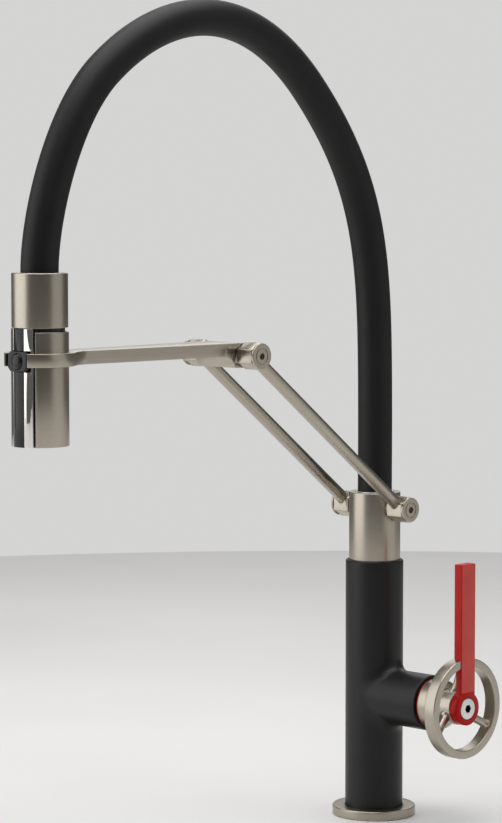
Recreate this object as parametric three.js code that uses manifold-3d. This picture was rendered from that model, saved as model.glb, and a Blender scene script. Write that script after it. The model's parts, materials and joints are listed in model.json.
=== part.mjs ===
// Pull-down kitchen mixer tap: black column, arched hose, jointed arm, spray head and spoked side handle.
// Millimetres, +Z up. Origin: column axis at the deck. The spout reaches towards -Y, the handle towards +X.
import * as THREE from 'three';
import { mergeVertices } from 'three/addons/utils/BufferGeometryUtils.js';
import Module from 'manifold-3d';

const wasm = await Module();
wasm.setup();

// ---- driving dimensions ----
const GAP = 0.3; // clearance between neighbouring pieces
const PAST = 1; // how far a cutting shape runs past the face that it cuts

const FLANGE = { radius: 30, height: 6.5, bevel: 0.9 };
const GASKET_GROOVE = { inner: 22.4, outer: 27.5, depth: 2.1 };
const COLUMN = { radius: 20.8, bore: 16.5, top: 186, lipRadius: 1.6 };
const COLUMN_SLEEVE = { bore: 17.2, bottom: 160, top: 184.2 };
const INSERT = { height: 14, studX: 8.5, studRadius: 4 };
const SUPPLY = { x: -7.5, y: 7, radius: 4.5, bore: 3.2, bottom: 1, top: 70.5 };
const RISER = { x: -6, radius: 6, bore: 4.6, bottom: 103.4, top: 152 };

const OUTLET = { axisZ: 87.6, radius: 19.8, bore: 16.4, end: 56, flare: 8 };
const SEAT = { radius: 15.4, back: -4, front: 9, shoulder: 2 };
const CARTRIDGE = { radius: 15.2, back: 9.3, front: 36, bore: 4.6, boreBack: 30 };
const CARTRIDGE_NECK = { radius: 12.4, front: 43.5 };
const NUT = { bore: 12.8, back: 36.4, front: 46 };
const INDEX = { inner: 13, outer: 17.9, back: 56.3, front: 57.1 };
const BONNET = { bore: 4.7, radius: 17.7, back: 57.4, shoulder: 69, rim: 12.6, front: 69.8, round: 4 };

const SPINDLE = { radius: 4.2, back: 30.5, front: 79.8, thread: 2.6, threadBack: 66 };
const WHEEL = { back: 79.7, front: 89.2, outer: 35.6, inner: 29.8, hub: 12.2, hubBack: 70.4 };
const SPOKE = { radius: 2.9, start: 8, startX: 77, endX: 84.5, angles: [90, -30, -150] };
const LEVER = { hub: 11.8, seat: 7.8, front: 89.8, back: 82.8, width: 14.6, tip: 190.2, notchDepth: 5.2 };
const CAP_SCREW = { radius: 7.5, back: 83.1, shank: 2.2, shankBack: 67, chamfer: 0.5 };
const CAP_SOCKET = { radius: 2.7, depth: 4 };

const COLLAR = { radius: 18.45, bottom: 184.8, top: 235, bore: 13.8 };
const SPIGOT = { radius: 14.6, bottom: 156 };
const NIPPLE = { bore: 4.2, radius: 11.9, bottom: 158, shoulder: 200, stop: 203.4, neck: 8.3 };
const COLLAR_LEDGE = { bore: 12.2, top: 204.5 };
const BUSHING = { inner: 14.8, outer: 17, bottom: 162, top: 182 };
const UPPER_SEAL = { radius: 15.9, z: 183.1, thickness: 1.6 };
const LOWER_SEAL = { radius: 15.55, z: 158, thickness: 1.4 };

const PIVOT = { lowerZ: 224, upperY: -150.7, upperZ: 340.3 };
const BOSS = { radius: 7.2, start: 15, end: 18.6, threadStart: 12 };
const WASHER = { radius: 5.5, inner: 18.9, outer: 19.9 };
const BLOCK = { acrossFlats: 16.4, inner: 19, outer: 33.3, pinBore: 3.2 };
const SCREW = { headRadius: 8.9, headIn: 33.5, headOut: 35.1, shank: 3, shankIn: 14.2, chamfer: 0.4 };
const SCREW_GROOVE = { radius: 5.35, width: 0.6, depth: 0.6 };
const SCREW_SOCKET = { radius: 2.5, depth: 3 };
const ROD = { x: 26, radius: 4.4, endGap: 4.8, play: 0.15, boreLength: 40 };

const ARM = { bottom: 340, top: 348.8, rootHalf: 17.9, rootLength: 14, waistHalf: 10.6, waistY: -283 };
const ARM_BOSS = { radius: 8.5, fillet: 10.6, length: 20 };
const SPRAY = { y: -317.9, radius: 18.6, wall: 2.1, bottom: 288.5, shellTop: 362.2 };
const SPRAY_COLLAR = { radius: 18.2, bottom: 364.7, top: 400 };
const CORE = { bottom: 296, neck: 7.2, top: 387, bore: 4, boreBottom: 300 };
const RING = { inner: 19.2, outer: 23, openHalf: 10.6 };
const PANEL = { halfAngle: 35.4, seamAngle: 39.4 };
const BUTTON = { y: -337.4, z: 343.6, radius: 5.1 };
const BEZEL = { half: 9.3, height: 13, depth: 3.6, corner: 2.4, bore: 5.4 };

const HOSE = { radius: 12.3, bore: 8.6, lineRadius: 6, lineBore: 4.2 };
// Where the hose passes: place in the Y-Z plane, heading above the -Y direction in degrees, handle lengths.
const HOSE_KNOTS = [
	{ y: 0, z: 205, heading: 90, before: 0, after: 66 },
	{ y: 0, z: 300, heading: 89.5, before: 30, after: 100 },
	{ y: -70, z: 523, heading: 46, before: 96, after: 87 },
	{ y: -262, z: 530, heading: -40, before: 74, after: 46 },
	{ y: SPRAY.y, z: 400.4, heading: -90, before: 35, after: 0 },
];

const FINE = 28; // sides of the large round pieces
const COARSE = 14; // sides of the small round pieces
const RIM_SIDES = 36; // sides of the wheel's rim and the arm's ring

// ---- materials ----
function finish(color, roughness, metalness) {
	return new THREE.MeshStandardMaterial({ color, roughness, metalness });
}

const BRUSHED = finish(0x9c9484, 0.34, 1);
const BLACK = finish(0x1b1b1b, 0.55, 0.1);
const RUBBER = finish(0x161616, 0.8, 0);
const RED = finish(0xb4201c, 0.35, 0.1);
const POLISHED = finish(0xc9c6c0, 0.08, 1);
const BRASS = finish(0xb08d4a, 0.4, 1);
const WHITE_PLASTIC = finish(0xd8d6cf, 0.5, 0);
const BLACK_PLASTIC = finish(0x121212, 0.35, 0);
const SATIN_STEEL = finish(0xc8c8c6, 0.3, 1);

// ---- solids: joining, cutting and the basic shapes ----
function closedBody(vertProperties, corners) {
	return new wasm.Manifold(new wasm.Mesh({ numProp: 3, vertProperties, triVerts: new Uint32Array(corners) }));
}

// Shared corners are merged, flat slivers dropped, and faces that point inwards turned out.
function toSolid(geometry) {
	const bare = geometry.index ? geometry.toNonIndexed() : geometry.clone();
	bare.deleteAttribute('normal');
	bare.deleteAttribute('uv');
	const merged = mergeVertices(bare, 1e-4);
	const vertProperties = new Float32Array(merged.attributes.position.array);
	const triVerts = new Uint32Array(merged.index.array);
	const kept = [];
	for (let i = 0; i < triVerts.length; i += 3) {
		const [a, b, c] = [triVerts[i], triVerts[i + 1], triVerts[i + 2]];
		if (a !== b && b !== c && c !== a) {
			kept.push(a, b, c);
		}
	}
	const made = closedBody(vertProperties, kept);
	if (made.volume() >= 0) {
		return made;
	}
	const flipped = [];
	for (let i = 0; i < kept.length; i += 3) {
		flipped.push(kept[i], kept[i + 2], kept[i + 1]);
	}
	return closedBody(vertProperties, flipped);
}

function toGeometry(solid) {
	const mesh = solid.getMesh();
	const geometry = new THREE.BufferGeometry();
	geometry.setAttribute('position', new THREE.BufferAttribute(mesh.vertProperties, 3));
	geometry.setIndex(new THREE.BufferAttribute(mesh.triVerts, 1));
	return geometry;
}

function join(first, ...others) {
	return others.reduce((whole, other) => whole.add(other), first);
}

function cut(first, ...others) {
	return others.reduce((whole, other) => whole.subtract(other), first);
}

// A profile of [radius, height] points turned about an axis through `at`.
function turned(profile, { axis = 'z', at = [0, 0, 0], sides = FINE } = {}) {
	const points = profile.map(([r, h]) => new THREE.Vector2(Math.max(r, 0), h));
	const closed = profile[0][0] > 0;
	if (closed) {
		points.push(points[0].clone());
	}
	const geometry = new THREE.LatheGeometry(points, sides);
	if (axis === 'x') {
		geometry.rotateZ(-Math.PI / 2);
	} else {
		geometry.rotateX(Math.PI / 2);
	}
	geometry.translate(...at);
	return toSolid(geometry);
}

function rod(radius, from, to, options = {}) {
	return turned([[0, from], [radius, from], [radius, to], [0, to]], options);
}

function tube(inner, outer, from, to, options = {}) {
	return turned([[inner, from], [outer, from], [outer, to], [inner, to]], options);
}

// A flat outline of [x, y] points, pulled along +Z from `from` to `to`.
function plate(outline, from, to) {
	const shape = new THREE.Shape(outline.map(([x, y]) => new THREE.Vector2(x, y)));
	const geometry = new THREE.ExtrudeGeometry(shape, { depth: to - from, bevelEnabled: false });
	geometry.translate(0, 0, from);
	return toSolid(geometry);
}

// An outline of [y, z] points, pulled along +X from `from` to `to`.
function sidePlate(outline, from, to) {
	const shape = new THREE.Shape(outline.map(([y, z]) => new THREE.Vector2(y, z)));
	const geometry = new THREE.ExtrudeGeometry(shape, { depth: to - from, bevelEnabled: false });
	geometry.applyMatrix4(new THREE.Matrix4().set(0, 0, 1, from, 1, 0, 0, 0, 0, 1, 0, 0, 0, 0, 0, 1));
	return toSolid(geometry);
}

function box(low, high) {
	const size = high.map((value, i) => value - low[i]);
	const geometry = new THREE.BoxGeometry(...size);
	geometry.translate(...low.map((value, i) => value + size[i] / 2));
	return toSolid(geometry);
}

// Points on an arc, angles in degrees.
function arc(cx, cy, radius, start, end, steps) {
	const points = [];
	for (let i = 0; i <= steps; i += 1) {
		const a = THREE.MathUtils.degToRad(start + ((end - start) * i) / steps);
		points.push([cx + radius * Math.cos(a), cy + radius * Math.sin(a)]);
	}
	return points;
}

function regularPolygon(sides, circumradius, startAngle) {
	return arc(0, 0, circumradius, startAngle, startAngle + 360, sides).slice(0, sides);
}

// ---- the assembly ----
const faucet = new THREE.Group();

function add(name, solid, material) {
	const mesh = new THREE.Mesh(toGeometry(solid), material);
	mesh.name = name;
	faucet.add(mesh);
}

// ---- base and column ----
function baseFlange() {
	const { radius, height, bevel } = FLANGE;
	const { inner, outer, depth } = GASKET_GROOVE;
	const bore = COLUMN.radius + GAP;
	return turned([
		[bore, 0], [inner, 0], [inner, depth], [outer, depth], [outer, 0], [radius, 0],
		[radius, height - bevel], [radius - bevel, height], [bore, height],
	]);
}

function deckGasket() {
	const { inner, outer, depth } = GASKET_GROOVE;
	return tube(inner + GAP, outer - GAP, 0, depth - GAP);
}

// The side outlet: round at its mouth, growing taller near the column, so that it flows into the column.
function outletBody() {
	const flareEnd = COLUMN.radius + OUTLET.flare;
	const flareSteps = [0, 0.25, 0.5, 0.75, 1].map((share) => COLUMN.radius + OUTLET.flare * share ** 1.3);
	const rings = [COLUMN.radius / 2, COLUMN.radius - 2, ...flareSteps, OUTLET.end];
	const sides = FINE;
	const positions = [];
	for (const x of rings) {
		const into = THREE.MathUtils.clamp(flareEnd - x, 0, OUTLET.flare);
		const extra = OUTLET.flare - Math.sqrt(OUTLET.flare ** 2 - into ** 2);
		for (let i = 0; i < sides; i += 1) {
			const a = (2 * Math.PI * i) / sides;
			const tall = OUTLET.radius + extra * Math.abs(Math.sin(a));
			positions.push(x, OUTLET.radius * Math.cos(a), OUTLET.axisZ + tall * Math.sin(a));
		}
	}
	const last = (rings.length - 1) * sides;
	const faces = [];
	for (let r = 0; r < rings.length - 1; r += 1) {
		for (let i = 0; i < sides; i += 1) {
			const [a, b] = [r * sides + i, r * sides + ((i + 1) % sides)];
			faces.push(a, b, b + sides, a, b + sides, a + sides);
		}
	}
	for (let i = 1; i < sides - 1; i += 1) {
		faces.push(0, i + 1, i);
		faces.push(last, last + i, last + i + 1);
	}
	const geometry = new THREE.BufferGeometry();
	geometry.setAttribute('position', new THREE.BufferAttribute(new Float32Array(positions), 3));
	geometry.setIndex(faces);
	return toSolid(geometry);
}

function bodyColumn() {
	const { radius, bore, top, lipRadius } = COLUMN;
	const sleeve = COLUMN_SLEEVE;
	const lip = arc(radius - lipRadius, top - lipRadius, lipRadius, 0, 90, 4);
	const outside = turned([[0, 0], [radius, 0], ...lip, [0, top]]);
	const seatRadius = COLLAR.radius + 2 * GAP;
	const hollow = turned([
		[0, -PAST], [bore, -PAST], [bore, sleeve.bottom], [sleeve.bore, sleeve.bottom], [sleeve.bore, sleeve.top],
		[seatRadius, sleeve.top], [seatRadius, top + PAST], [0, top + PAST],
	]);
	const sideBore = rod(OUTLET.bore, 0, OUTLET.end + PAST, { axis: 'x', at: [0, 0, OUTLET.axisZ] });
	return cut(join(outside, outletBody()), hollow, sideBore);
}

function baseInsert() {
	const { height, studX, studRadius } = INSERT;
	const disc = rod(COLUMN.bore - GAP, 0, height);
	const holes = [1, -1].map((side) => rod(SUPPLY.radius + GAP, -PAST, height + PAST,
		{ at: [SUPPLY.x, side * SUPPLY.y, 0], sides: COARSE }));
	return cut(disc, ...holes, rod(studRadius, -PAST, height + PAST, { at: [studX, 0, 0], sides: COARSE }));
}

function supplyTube(side) {
	const at = [SUPPLY.x, side * SUPPLY.y, 0];
	return tube(SUPPLY.bore, SUPPLY.radius, SUPPLY.bottom, SUPPLY.top, { at, sides: COARSE });
}

// A disc behind the cartridge; its back reaches into the column's bore and is trimmed to it.
function valveSeat() {
	const at = [0, 0, OUTLET.axisZ];
	const { radius, back, front, shoulder } = SEAT;
	const disc = rod(radius, back, front, { axis: 'x', at });
	const fitsBore = rod(COLUMN.bore - GAP, OUTLET.axisZ - 2 * radius, OUTLET.axisZ + 2 * radius);
	return disc.intersect(fitsBore).add(rod(radius, shoulder, front, { axis: 'x', at }));
}

function mixingCartridge() {
	const at = [0, 0, OUTLET.axisZ];
	const { radius, back, front, bore, boreBack } = CARTRIDGE;
	const neck = CARTRIDGE_NECK;
	const body = turned([
		[0, back], [radius, back], [radius, front], [neck.radius, front], [neck.radius, neck.front],
		[0, neck.front],
	], { axis: 'x', at });
	return cut(body, rod(bore, boreBack, neck.front + PAST, { axis: 'x', at, sides: COARSE }));
}

function cartridgeNut() {
	return tube(NUT.bore, OUTLET.bore - GAP, NUT.back, NUT.front, { axis: 'x', at: [0, 0, OUTLET.axisZ] });
}

function riserTube() {
	return tube(RISER.bore, RISER.radius, RISER.bottom, RISER.top, { at: [RISER.x, 0, 0], sides: COARSE });
}

function bonnet() {
	const { bore, radius, back, shoulder, rim, front, round } = BONNET;
	const edge = arc(shoulder - round, radius - round, round, 90, 20, 4).map(([x, r]) => [r, x]);
	const profile = [[bore, back], [radius, back], ...edge, [rim, front], [bore, front]];
	return turned(profile, { axis: 'x', at: [0, 0, OUTLET.axisZ] });
}

function indexRing() {
	return tube(INDEX.inner, INDEX.outer, INDEX.back, INDEX.front, { axis: 'x', at: [0, 0, OUTLET.axisZ] });
}

add('base_flange', baseFlange(), BRUSHED);
add('deck_gasket', deckGasket(), RUBBER);
add('body_column', bodyColumn(), BLACK);
add('base_insert', baseInsert(), BRASS);
add('hot_supply_tube', supplyTube(1), SATIN_STEEL);
add('cold_supply_tube', supplyTube(-1), SATIN_STEEL);
add('valve_seat', valveSeat(), BRASS);
add('mixing_cartridge', mixingCartridge(), WHITE_PLASTIC);
add('cartridge_nut', cartridgeNut(), BRASS);
add('riser_tube', riserTube(), SATIN_STEEL);
add('bonnet', bonnet(), BRUSHED);
add('index_ring', indexRing(), RED);

// ---- side handle ----
const HANDLE_AT = [0, 0, OUTLET.axisZ];

function handleSpindle() {
	const { radius, back, front, thread, threadBack } = SPINDLE;
	return cut(
		rod(radius, back, front, { axis: 'x', at: HANDLE_AT, sides: COARSE }),
		rod(thread, threadBack, front + PAST, { axis: 'x', at: HANDLE_AT, sides: COARSE }),
	);
}

function spoke(angle) {
	const outward = new THREE.Vector3(0, Math.cos(angle), Math.sin(angle));
	const axis = new THREE.Vector3(0, 0, OUTLET.axisZ);
	const start = new THREE.Vector3(SPOKE.startX, 0, 0).add(axis).addScaledVector(outward, SPOKE.start);
	const rimMiddle = (WHEEL.outer + WHEEL.inner) / 2;
	const end = new THREE.Vector3(SPOKE.endX, 0, 0).add(axis).addScaledVector(outward, rimMiddle);
	const geometry = new THREE.CylinderGeometry(SPOKE.radius, SPOKE.radius, start.distanceTo(end), 10);
	const turn = new THREE.Quaternion().setFromUnitVectors(
		new THREE.Vector3(0, 1, 0), end.clone().sub(start).normalize());
	geometry.applyQuaternion(turn);
	geometry.translate(...start.clone().add(end).multiplyScalar(0.5).toArray());
	return toSolid(geometry);
}

function handwheel() {
	const { back, front, outer, inner, hub, hubBack } = WHEEL;
	const play = 0.2;
	const rim = tube(inner, outer, back, front, { axis: 'x', at: HANDLE_AT, sides: RIM_SIDES });
	const centre = rod(hub, hubBack, LEVER.back - play, { axis: 'x', at: HANDLE_AT });
	const spokes = SPOKE.angles.map((degrees) => spoke(THREE.MathUtils.degToRad(degrees)));
	const spindleBore = rod(SPINDLE.radius + play, hubBack - PAST, SPINDLE.front + GAP,
		{ axis: 'x', at: HANDLE_AT, sides: COARSE });
	const screwBore = rod(CAP_SCREW.shank + 2 * GAP, SPINDLE.front - PAST, front,
		{ axis: 'x', at: HANDLE_AT, sides: COARSE });
	const half = LEVER.width / 2 + play;
	const notch = box(
		[LEVER.front - LEVER.notchDepth - play, -half, OUTLET.axisZ + hub + 1],
		[LEVER.front + PAST, half, OUTLET.axisZ + outer + PAST],
	);
	return cut(join(rim, centre, ...spokes), spindleBore, screwBore, notch);
}

// A bar on a round hub. It is thin where it passes through the wheel and full thickness beyond the rim.
function lever() {
	const { hub, front, back, width, tip, notchDepth } = LEVER;
	const half = width / 2;
	const rimTop = OUTLET.axisZ + WHEEL.outer + 0.4;
	const disc = rod(hub, back, front, { axis: 'x', at: HANDLE_AT });
	const thin = box([front - notchDepth, -half, OUTLET.axisZ], [front, half, rimTop + 2]);
	const thick = box([back, -half, rimTop], [front, half, tip]);
	const seat = rod(LEVER.seat, back - PAST, front + PAST, { axis: 'x', at: HANDLE_AT, sides: COARSE });
	return cut(join(disc, thin, thick), seat);
}

function leverScrew() {
	const { radius, back, shank, shankBack, chamfer } = CAP_SCREW;
	const { front } = LEVER;
	const head = turned([
		[0, shankBack], [shank, shankBack], [shank, back], [radius, back], [radius, front - chamfer],
		[radius - chamfer, front], [0, front],
	], { axis: 'x', at: HANDLE_AT, sides: COARSE });
	return cut(head, hexSocket(CAP_SOCKET.radius, front - CAP_SOCKET.depth, front + PAST, HANDLE_AT));
}

function hexSocket(circumradius, from, to, at) {
	const outline = regularPolygon(6, circumradius, 0).map(([y, z]) => [y + at[1], z + at[2]]);
	return sidePlate(outline, Math.min(from, to), Math.max(from, to));
}

add('handle_spindle', handleSpindle(), SATIN_STEEL);
add('handwheel', handwheel(), BRUSHED);
add('lever', lever(), RED);
add('lever_screw', leverScrew(), SATIN_STEEL);

// ---- swivel collar ----
// A boss on each side of a pivot, and the hole in it for the pivot screw's thread.
function pivotBosses(at) {
	return [1, -1].map((side) => rod(BOSS.radius, side * BOSS.start, side * BOSS.end, { axis: 'x', at }));
}

function pivotThreads(at) {
	return [1, -1].map((side) => rod(SCREW.shank + 0.2, side * BOSS.threadStart, side * (BOSS.end + PAST),
		{ axis: 'x', at, sides: COARSE }));
}

const LOWER_PIVOT = [0, 0, PIVOT.lowerZ];
const UPPER_PIVOT = [0, PIVOT.upperY, PIVOT.upperZ];

function armCollar() {
	const { radius, bottom, top, bore } = COLLAR;
	const { bore: ledgeBore, top: ledgeTop } = COLLAR_LEDGE;
	const sleeve = turned([
		[ledgeBore, SPIGOT.bottom], [SPIGOT.radius, SPIGOT.bottom], [SPIGOT.radius, bottom],
		[radius - 0.4, bottom], [radius, bottom + 0.5], [radius, top - 0.6], [radius - 0.6, top],
		[bore, top], [bore, ledgeTop], [ledgeBore, ledgeTop],
	]);
	return cut(join(sleeve, ...pivotBosses(LOWER_PIVOT)), ...pivotThreads(LOWER_PIVOT));
}

function swivelBushing() {
	return tube(BUSHING.inner, BUSHING.outer, BUSHING.bottom, BUSHING.top);
}

function collarSeal({ radius, z, thickness }) {
	return turned(arc(radius, z, thickness / 2, 0, 315, 7), { sides: FINE });
}

function hoseFerrule() {
	return tube(HOSE.radius + 0.2, COLLAR.bore - 0.2, COLLAR_LEDGE.top + 1.5, COLLAR.top + 0.3);
}

function swivelNipple() {
	const { bore, radius, bottom, shoulder, stop, neck } = NIPPLE;
	const socket = HOSE.lineRadius + 0.2;
	return turned([
		[bore, bottom], [radius, bottom], [radius, shoulder], [neck, stop - 0.4], [neck, stop], [socket, stop],
		[socket, shoulder], [bore, shoulder - 3],
	]);
}

// A pivot screw: a wide flat head with a round groove and a hexagon socket, and its shank.
function pivotScrew(side, at) {
	const { headRadius, headIn, headOut, shank, shankIn, chamfer } = SCREW;
	const head = turned([
		[0, side * headIn], [headRadius, side * headIn], [headRadius, side * (headOut - chamfer)],
		[headRadius - chamfer, side * headOut], [0, side * headOut],
	], { axis: 'x', at });
	const stem = rod(shank, side * shankIn, side * (headIn + 0.5), { axis: 'x', at, sides: COARSE });
	const { radius, width, depth } = SCREW_GROOVE;
	const past = side * (headOut + PAST);
	const groove = tube(radius - width / 2, radius + width / 2, side * (headOut - depth), past, { axis: 'x', at });
	const socket = hexSocket(SCREW_SOCKET.radius, side * (headOut - SCREW_SOCKET.depth), past, at);
	return cut(join(head, stem), groove, socket);
}

// A friction washer between a boss and the block that turns on it, seated in a recess of the block.
function pivotWasher(side, at) {
	return tube(SCREW.shank + 0.2, WASHER.radius, side * WASHER.inner, side * WASHER.outer, { axis: 'x', at });
}

add('arm_collar', armCollar(), BRUSHED);
add('swivel_bushing', swivelBushing(), WHITE_PLASTIC);
add('upper_collar_seal', collarSeal(UPPER_SEAL), RUBBER);
add('lower_collar_seal', collarSeal(LOWER_SEAL), RUBBER);
add('hose_ferrule', hoseFerrule(), SATIN_STEEL);
add('hose_nipple', swivelNipple(), BRASS);

// ---- pivots and links ----
const SIDES = { right: 1, left: -1 };
const LINK = new THREE.Vector3(0, PIVOT.upperY, PIVOT.upperZ - PIVOT.lowerZ);
const LINK_LENGTH = LINK.length();
const LINK_HEADING = LINK.clone().normalize();
const LINK_TURN = new THREE.Quaternion().setFromUnitVectors(new THREE.Vector3(0, 1, 0), LINK_HEADING);

// A straight round bar along the link, between two distances from the lower pivot.
function linkBar(radius, x, from, to) {
	const geometry = new THREE.CylinderGeometry(radius, radius, to - from, COARSE);
	geometry.translate(0, (from + to) / 2, 0);
	geometry.applyQuaternion(LINK_TURN);
	geometry.translate(x, 0, PIVOT.lowerZ);
	return toSolid(geometry);
}

// A hexagonal block that turns on a pivot screw and holds one end of a rod.
function hexBlock(side, at, barFrom, barTo) {
	const outline = regularPolygon(6, BLOCK.acrossFlats / Math.sqrt(3), 30);
	const placed = outline.map(([y, z]) => [y + at[1], z + at[2]]);
	const [low, high] = [side * BLOCK.inner, side * BLOCK.outer].sort((a, b) => a - b);
	const pin = rod(BLOCK.pinBore, low - PAST, high + PAST, { axis: 'x', at, sides: COARSE });
	const recess = rod(WASHER.radius + GAP, side * (BLOCK.inner - PAST), side * (WASHER.outer + GAP),
		{ axis: 'x', at });
	const bar = linkBar(ROD.radius + ROD.play, side * ROD.x, barFrom, barTo);
	return cut(sidePlate(placed, low, high), pin, recess, bar);
}

for (const [name, side] of Object.entries(SIDES)) {
	const { endGap, boreLength } = ROD;
	const lowerBlock = hexBlock(side, LOWER_PIVOT, endGap - GAP, boreLength);
	const upperBlock = hexBlock(side, UPPER_PIVOT, LINK_LENGTH - boreLength, LINK_LENGTH - endGap + GAP);
	add(`${name}_rod`, linkBar(ROD.radius, side * ROD.x, endGap, LINK_LENGTH - endGap), BRUSHED);
	add(`lower_${name}_block`, lowerBlock, BRUSHED);
	add(`upper_${name}_block`, upperBlock, BRUSHED);
	add(`lower_${name}_screw`, pivotScrew(side, LOWER_PIVOT), BRUSHED);
	add(`upper_${name}_screw`, pivotScrew(side, UPPER_PIVOT), BRUSHED);
	add(`lower_${name}_washer`, pivotWasher(side, LOWER_PIVOT), WHITE_PLASTIC);
	add(`upper_${name}_washer`, pivotWasher(side, UPPER_PIVOT), WHITE_PLASTIC);
}

// ---- spray arm ----
function armPlateOutline() {
	const { rootHalf, rootLength, waistHalf, waistY } = ARM;
	const near = [[rootHalf, PIVOT.upperY], [rootHalf, PIVOT.upperY - rootLength], [waistHalf, waistY]];
	const flare = [[waistHalf + 1, waistY - 8], [waistHalf + 4, waistY - 16.5]];
	const edge = [...near, ...flare];
	const mirrored = edge.map(([x, y]) => [-x, y]).reverse();
	const insideRing = [[waistHalf + 4, waistY - 23], [-waistHalf - 4, waistY - 23]];
	return [...edge, ...insideRing, ...mirrored];
}

function armBoss() {
	const { bottom, top, rootHalf } = ARM;
	const { radius, fillet, length } = ARM_BOSS;
	const [, y, z] = UPPER_PIVOT;
	const round = arc(y, z, radius, -90, 90, 8);
	const underside = arc(y - 16.5, bottom - fillet, fillet, 90, 25, 5);
	const outline = [
		...round, [y - length, top], [y - length, bottom], ...underside, [y - 4.8, z - radius + 0.9],
	];
	return sidePlate(outline, -rootHalf, rootHalf);
}

function sprayArm() {
	const at = [0, SPRAY.y, 0];
	const { bottom, top } = ARM;
	const hoop = rod(RING.outer, bottom, top, { at, sides: RIM_SIDES });
	const hole = rod(RING.inner, bottom - PAST, top + PAST, { at, sides: RIM_SIDES });
	const mouth = box(
		[-RING.openHalf, SPRAY.y - RING.outer - PAST, bottom - PAST],
		[RING.openHalf, SPRAY.y - RING.outer / 2, top + PAST],
	);
	const whole = join(plate(armPlateOutline(), bottom, top), armBoss(), hoop, ...pivotBosses(UPPER_PIVOT));
	return cut(whole, hole, mouth, ...pivotThreads(UPPER_PIVOT));
}

add('spray_arm', sprayArm(), BRUSHED);

// ---- spray head ----
// A piece of a round wall about the spray's axis, between two angles measured from -Y towards +X.
function wallSector(inner, outer, fromAngle, toAngle, from, to) {
	const start = fromAngle - 90;
	const end = toAngle - 90;
	const steps = Math.max(3, Math.round((end - start) / 9));
	const outline = [
		...arc(0, SPRAY.y, outer, start, end, steps),
		...arc(0, SPRAY.y, inner, end, start, steps),
	];
	return plate(outline, from, to);
}

function sprayCollar() {
	const at = [0, SPRAY.y, 0];
	const { radius, bottom, top } = SPRAY_COLLAR;
	const socketBottom = 388;
	const body = turned([
		[0, bottom], [radius - 0.3, bottom], [radius, bottom + 0.4], [radius, top - 0.8], [radius - 0.8, top],
		[0, top],
	], { at });
	const socket = rod(HOSE.radius + GAP, socketBottom, top + PAST, { at });
	return cut(body, socket, rod(CORE.neck + GAP, bottom - PAST, socketBottom + PAST, { at, sides: COARSE }));
}

function sprayCore() {
	const at = [0, SPRAY.y, 0];
	const { bottom, neck, top, bore, boreBottom } = CORE;
	const radius = SPRAY.radius - SPRAY.wall - GAP;
	const shoulder = SPRAY_COLLAR.bottom - 0.2;
	const body = turned([
		[0, bottom], [radius, bottom], [radius, shoulder], [neck, shoulder], [neck, top], [0, top],
	], { at });
	const well = BUTTON.radius + 0.3;
	const buttonWell = box([-7.5, SPRAY.y - 20, BUTTON.z - well], [7.5, SPRAY.y - 7.5, BUTTON.z + well]);
	return cut(body, rod(bore, boreBottom, top + PAST, { at, sides: COARSE }), buttonWell);
}

function rearShell() {
	const { radius, bottom, shellTop } = SPRAY;
	return wallSector(radius - SPRAY.wall, radius, PANEL.seamAngle, 360 - PANEL.seamAngle, bottom, shellTop);
}

function frontPanel() {
	const { radius, bottom, y } = SPRAY;
	const top = SPRAY_COLLAR.bottom - GAP;
	const sector = wallSector(radius - SPRAY.wall, radius, -PANEL.halfAngle, PANEL.halfAngle, bottom, top);
	const play = 0.25;
	const half = BEZEL.half + play;
	const halfHeight = BEZEL.height / 2 + play;
	const [low, high] = [BUTTON.z - halfHeight, BUTTON.z + halfHeight];
	const window = box([-half, y - 2 * radius, low], [half, y - radius / 2, high]);
	return cut(sector, window);
}

// The block round the button: a plate with cut corners, hollowed to the spray's curve behind.
function buttonBezel() {
	const { y, z } = BUTTON;
	const { half, height, depth, corner, bore } = BEZEL;
	const [low, high] = [z - height / 2, z + height / 2];
	const outline = [
		[half, low + corner], [half, high - corner], [half - corner, high], [corner - half, high],
		[-half, high - corner], [-half, low + corner], [corner - half, low], [half - corner, low],
	];
	const shape = new THREE.Shape(outline.map(([x, w]) => new THREE.Vector2(x, w)));
	const geometry = new THREE.ExtrudeGeometry(shape, { depth, bevelEnabled: false });
	geometry.rotateX(Math.PI / 2);
	geometry.translate(0, y + depth, 0);
	const behind = rod(SPRAY.radius - SPRAY.wall, low - PAST, high + PAST, { at: [0, SPRAY.y, 0] });
	const opening = new THREE.CylinderGeometry(bore, bore, 4 * depth, COARSE);
	opening.translate(0, y, z);
	return cut(toSolid(geometry), behind, toSolid(opening));
}

// The domed button; heights are inwards from the bezel's face.
function modeButton() {
	const { radius, y, z } = BUTTON;
	const dome = turned([
		[0, 3.4], [radius, 3.4], [radius, -1.2], [radius * 0.7, -1.8], [0, -2.1],
	], { sides: COARSE });
	const geometry = toGeometry(dome);
	geometry.applyMatrix4(new THREE.Matrix4().makeRotationX(-Math.PI / 2).setPosition(0, y, z));
	return toSolid(geometry);
}

// The nozzle plate, with a shallow recess in its underside.
function sprayFace() {
	const { y, radius, bottom } = SPRAY;
	const outer = radius - SPRAY.wall - GAP;
	const top = CORE.bottom - GAP;
	return turned([
		[0, bottom + 2.1], [11, bottom + 2.1], [12.4, bottom], [outer, bottom], [outer, top], [0, top],
	], { at: [0, y, 0] });
}

add('spray_collar', sprayCollar(), BRUSHED);
add('spray_core', sprayCore(), BLACK_PLASTIC);
add('rear_shell', rearShell(), BRUSHED);
add('front_panel', frontPanel(), POLISHED);
add('button_bezel', buttonBezel(), BLACK_PLASTIC);
add('mode_button', modeButton(), BLACK_PLASTIC);
add('spray_face', sprayFace(), RUBBER);

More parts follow.
